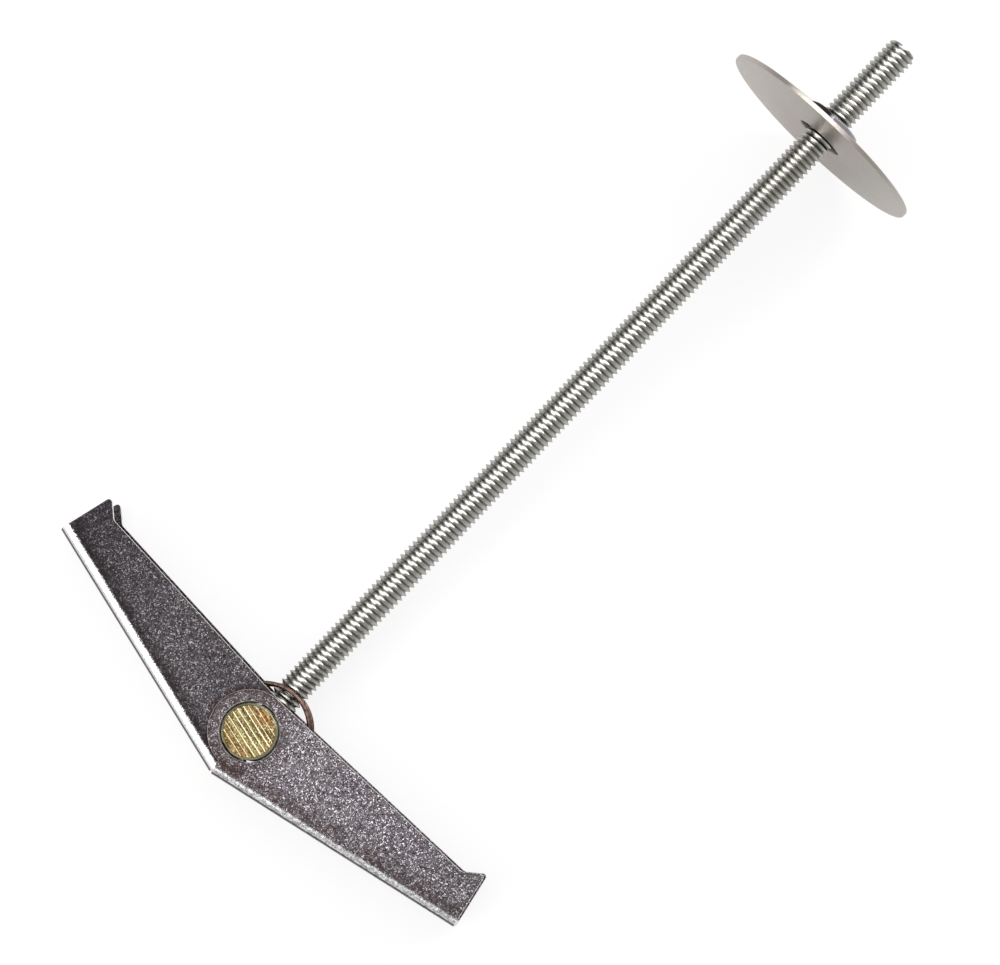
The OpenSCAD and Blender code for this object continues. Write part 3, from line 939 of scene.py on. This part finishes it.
class BOLT_OT_spring(bpy.types.Operator):
    """Winds the spring: a coil on each side of the rod and a leg along each web"""
    bl_idname = "toggle_bolt.spring"
    bl_label = "Spring"

    LEG_STEPS = 12
    COIL_STEPS = 90
    LEG_PIECE_STEPS = 24  # Steps of each coil that belong to its leg's piece
    CROSSING_STEPS = 16

    def execute(self, context):
        sizes = context.scene.bolt_spring
        wing = context.scene.bolt_wing
        self.middle = Vector((sizes.shift, -sizes.sag))
        self.coil = sizes.coil
        wire_r = sizes.wire / 2
        side_z = WING_WIDTH / 2 - EAR_SHIFT - wing.sheet - wire_r - sizes.side_gap
        rod_z = CREST_R + wire_r + sizes.rod_gap
        cross_z = side_z - 1.3 * sizes.wire
        off = -WING_LOW.y - wing.sheet - wire_r - sizes.leg_gap
        sin_open, cos_open = math.sin(OPEN_ANGLE), math.cos(OPEN_ANGLE)
        routes = {}
        for side in (1, -1):
            end = Vector((sizes.leg * cos_open - off * sin_open,
                          side * (sizes.leg * sin_open + off * cos_open)))
            away = end - self.middle
            leave = math.atan2(away.y, away.x) + side * math.acos(self.coil / away.length)
            leave %= TURN
            swept = (math.pi - side * sizes.crossing - leave) % TURN
            if side == -1:
                swept -= TURN
            route = []
            for i in range(self.COIL_STEPS + 1):
                t = i / self.COIL_STEPS
                level = (side_z + (rod_z - side_z) * smooth(2 * t) if t < 0.5
                         else rod_z + (cross_z - rod_z) * smooth(2 * t - 1))
                route.append(self.at(leave + swept * t, side * level))
            leg = [Vector((*end, side * side_z)).lerp(route[0], i / self.LEG_STEPS)
                   for i in range(self.LEG_STEPS)]
            routes[side] = (leg, route)

        crossing = []
        for i in range(1, self.CROSSING_STEPS):
            t = i / self.CROSSING_STEPS
            crossing.append(self.at(math.pi + sizes.crossing * (2 * t - 1),
                                    cross_z * (1 - 2 * smooth(t))))
        split = self.LEG_PIECE_STEPS
        coils = routes[1][1][split:] + crossing + routes[-1][1][split:][::-1]
        finish = (wire_tree(), oiled_wire(), wire_r)
        self.wire("spring_coils", coils, *finish, "head", ["spring"])
        for side, name in ((1, "left"), (-1, "right")):
            leg, route = routes[side]
            piece = self.wire("spring_%s_leg" % name, leg + route[:split + 1], *finish, None, [])
            along = Vector((cos_open, side * sin_open, 0))
            start_at = route[split].dot(along) + wire_r
            end_at = route[0].dot(along) - wire_r
            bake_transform(piece, "head", name + "_wing",
                     start=PAIR @ (along * start_at), end=PAIR @ (along * end_at))
        return {"FINISHED"}

    def at(self, turn, z):
        """The point of the coil at that turn."""
        return Vector((self.middle.x + self.coil * math.cos(turn),
                       self.middle.y + self.coil * math.sin(turn), z))

    @staticmethod
    def wire(name, route, tree, material, radius, body, nodes):
        path = bpy.data.meshes.new("route")
        path.from_pydata(route, [(i, i + 1) for i in range(len(route) - 1)], [])
        bm = open_mesh(run_tree(
            tree, {"Wire Radius": radius, "Sides": 14, "Material": material}, path))
        outward(bm)
        return finish_piece(name, to_mesh(bm, name), PAIR, [material], body,
                            nodes, 50)


class BOLT_OT_washer(bpy.types.Operator):
    """Punches the washer: rolled edges on one face and square, broken edges on the other"""
    bl_idname = "toggle_bolt.washer"
    bl_label = "Washer"

    def execute(self, context):
        sizes = context.scene.bolt_fastener
        roll, broken = sizes.washer_roll, sizes.washer_break
        inner, outer = WASHER_HOLE_R, WASHER_R
        back, front = WASHER_LOW.x, WASHER_HIGH.x
        outline = arc((outer - roll, back + roll), roll, -math.pi / 2, 0.0, 5)
        outline += [(outer, front - broken), (outer - broken, front)]
        outline += [(inner + broken, front), (inner, front - broken)]
        outline += arc((inner + roll, back + roll), roll, math.pi, 1.5 * math.pi, 5)
        bm, _ = revolved(outline + outline[:1], even_turns(160))
        bmesh.ops.remove_doubles(bm, verts=bm.verts, dist=WELD)
        outward(bm)
        finish_piece("punched_washer", to_mesh(bm, "washer"), BOLT, [satin_zinc()],
                     "washer_slider", ["washer"])
        return {"FINISHED"}


class BOLT_OT_nut(bpy.types.Operator):
    """Cuts the hexagon nut with turned corners, countersinks and its thread"""
    bl_idname = "toggle_bolt.nut"
    bl_label = "Hexagon nut"

    def execute(self, context):
        sizes = context.scene.bolt_fastener
        thread = context.scene.bolt_thread
        material = nut_zinc()
        root = CREST_R + sizes.nut_root_gap
        crest = CREST_R - thread.depth + sizes.nut_crest_gap
        bm = open_mesh(thread_mesh(crest, root, NUT_LOW.x, NUT_HIGH.x, root + sizes.nut_sink,
                                   material, inside=True))
        rows = self.outside(sizes)
        shell = []
        for turn in even_turns(thread.segments):
            toward = (turn - (math.pi / 2 - sizes.nut_turn)) % (TURN / 6)
            hexagon = sizes.nut_flats / 2 / math.cos(toward - TURN / 12)
            column = [(min(radius, hexagon), along) for radius, along in rows]
            shell.append([bm.verts.new((along, r * math.cos(turn), r * math.sin(turn)))
                          for r, along in column])
        skin(bm, shell, closed=True)
        rims = [edge for edge in bm.edges if edge.is_boundary]
        for level in (NUT_LOW.x, NUT_HIGH.x):
            loops = [edge for edge in rims if abs(edge.verts[0].co.x - level) < 10 * WELD]
            bmesh.ops.bridge_loops(bm, edges=loops)
        bmesh.ops.remove_doubles(bm, verts=bm.verts, dist=WELD)
        outward(bm)
        finish_piece("cut_nut", to_mesh(bm, "nut"), BOLT, [material], "nut",
                     ["hex_nut"])
        return {"FINISHED"}

    @staticmethod
    def outside(sizes):
        """Rows of the nut's outside as (radius of the turned corners, distance along the rod)."""
        corner = sizes.nut_flats / 2 / math.cos(math.pi / 6)
        face_r = sizes.nut_flats / 2 * 0.97
        cut = corner - face_r
        drop = cut * math.tan(math.radians(30))
        steps = 6
        rows = [(face_r + cut * i / steps, drop * i / steps) for i in range(steps + 1)]
        low = [(r, NUT_LOW.x + d) for r, d in rows]
        high = [(r, NUT_HIGH.x - d) for r, d in reversed(rows)]
        return low + high


class BOLT_OT_stage(bpy.types.Operator):
    """Lays the floor, hangs the lamps and places the camera"""
    bl_idname = "toggle_bolt.stage"
    bl_label = "Stage"

    # Name, place in the camera's axes, side and power of each square lamp
    LAMPS = (("key", (-0.129, 0.124, 0.552), 0.6, 2.6),
             ("side", (-0.43, -0.17, 0.385), 0.36, 1.3),
             ("back", (0.37, 0.37, 0.30), 0.45, 2.2))

    def execute(self, context):
        sizes = context.scene.bolt_studio
        half = sizes.floor / 2
        bm = bmesh.new()
        bm.faces.new([bm.verts.new((x * half, y * half, 0))
                      for x, y in ((-1, -1), (1, -1), (1, 1), (-1, 1))])
        floor = new_object("floor", to_mesh(bm, "floor"))
        floor.data.materials.append(self.floor_white())

        axes = self.camera(context, sizes)
        for name, place, width, power in self.LAMPS:
            lamp = bpy.data.lights.new(name, "AREA")
            lamp.shape = "SQUARE"
            lamp.size = width
            lamp.energy = power
            where = axes @ Vector(place)
            aimed = (axes.translation - where).to_track_quat("-Z", "Y").to_matrix().to_4x4()
            new_object(name, lamp).matrix_world = Matrix.Translation(where) @ aimed
        context.scene.world = self.room(axes)
        context.scene.view_settings.view_transform = "Standard"
        return {"FINISHED"}

    @staticmethod
    def camera(context, sizes):
        """The camera looks down on the bolt. Its axes at the point that it aims at are returned."""
        axes = BOLT @ Matrix.Translation(Vector(sizes.aim))
        axes = turned(turned(turned(axes, sizes.lean_right, "X"), -sizes.lean_in, "Y"), sizes.roll)
        camera = bpy.data.cameras.new("camera")
        camera.lens = sizes.lens
        camera.sensor_width = 36.0
        camera.clip_start = 0.01
        camera.clip_end = 20.0
        holder = new_object("camera", camera)
        holder.matrix_world = axes @ Matrix.Translation((0, 0, sizes.distance))
        context.scene.camera = holder
        return axes

    @staticmethod
    def floor_white():
        """White floor that keeps a soft shadow, and that shows as white in the metal too."""
        material, g, _ = new_surface("floor_white")
        paper = g.tree.nodes["Principled BSDF"]
        paper.inputs["Base Color"].default_value = (0.9, 0.9, 0.9, 1.0)
        paper.inputs["Roughness"].default_value = 0.9
        paper.inputs["Specular IOR Level"].default_value = 0.0
        light = g.add("ShaderNodeLightPath").outputs
        mirrored = g.math("MAXIMUM", light["Is Glossy Ray"], light["Is Transmission Ray"])
        seen = g.plus(g.times(light["Is Camera Ray"], 0.82), g.times(mirrored, 0.6))
        tone = g.mix(mirrored, (1.0, 1.0, 1.0), (0.5, 0.5, 0.5))
        white = g.out("ShaderNodeEmission", [("Color", tone), ("Strength", 1.0)])
        mixed = g.out("ShaderNodeMixShader", [(0, seen), (1, paper.outputs[0]), (2, white)])
        g.plug(g.tree.nodes["Material Output"].inputs["Surface"], mixed)
        return material

    @staticmethod
    def room(axes):
        """A plain room: pale at the horizon, darker overhead, dark in a strip to one side."""
        world = bpy.data.worlds.new("room")
        world.use_nodes = True
        g = Graph(world.node_tree)
        where = g.add("ShaderNodeTexCoord").outputs["Generated"]
        aside = g.vector("DOT_PRODUCT", where, axes.to_3x3() @ Vector((-0.72, 0.69, 0.0)))
        tone = g.lay(TONE.horizon, TONE.overhead, g.split(where)[2], 0.1, 0.85)
        strip = g.times(g.rescale(aside, 0.76, 0.82), g.rescale(aside, 0.97, 0.92))
        backdrop = world.node_tree.nodes["Background"]
        g.plug(backdrop.inputs["Color"], g.mix(strip, tone, TONE.dark_strip))
        backdrop.inputs["Strength"].default_value = 1.0
        return world


class BOLT_PT_parts(bpy.types.Panel):
    """Lists the pieces of the bolt"""
    bl_idname = "BOLT_PT_parts"
    bl_label = "Spring toggle bolt"
    bl_space_type = "VIEW_3D"
    bl_region_type = "UI"
    bl_category = "Toggle Bolt"

    def draw(self, context):
        for operator in OPERATORS:
            self.layout.operator(operator.bl_idname)


OPERATORS = (BOLT_OT_rod, BOLT_OT_cross_bar, BOLT_OT_wings, BOLT_OT_spring, BOLT_OT_washer,
             BOLT_OT_nut, BOLT_OT_stage)
CLASSES = (*GROUPS.values(), *OPERATORS, BOLT_PT_parts)


def register():
    for item in CLASSES:
        bpy.utils.register_class(item)
    for name, group in GROUPS.items():
        setattr(bpy.types.Scene, name, bpy.props.PointerProperty(type=group))


def unregister():
    for name in GROUPS:
        delattr(bpy.types.Scene, name)
    for item in reversed(CLASSES):
        bpy.utils.unregister_class(item)


def main():
    register()
    for operator in OPERATORS:
        group, name = operator.bl_idname.split(".")
        getattr(getattr(bpy.ops, group), name)()


if __name__ == "__main__":
    main()
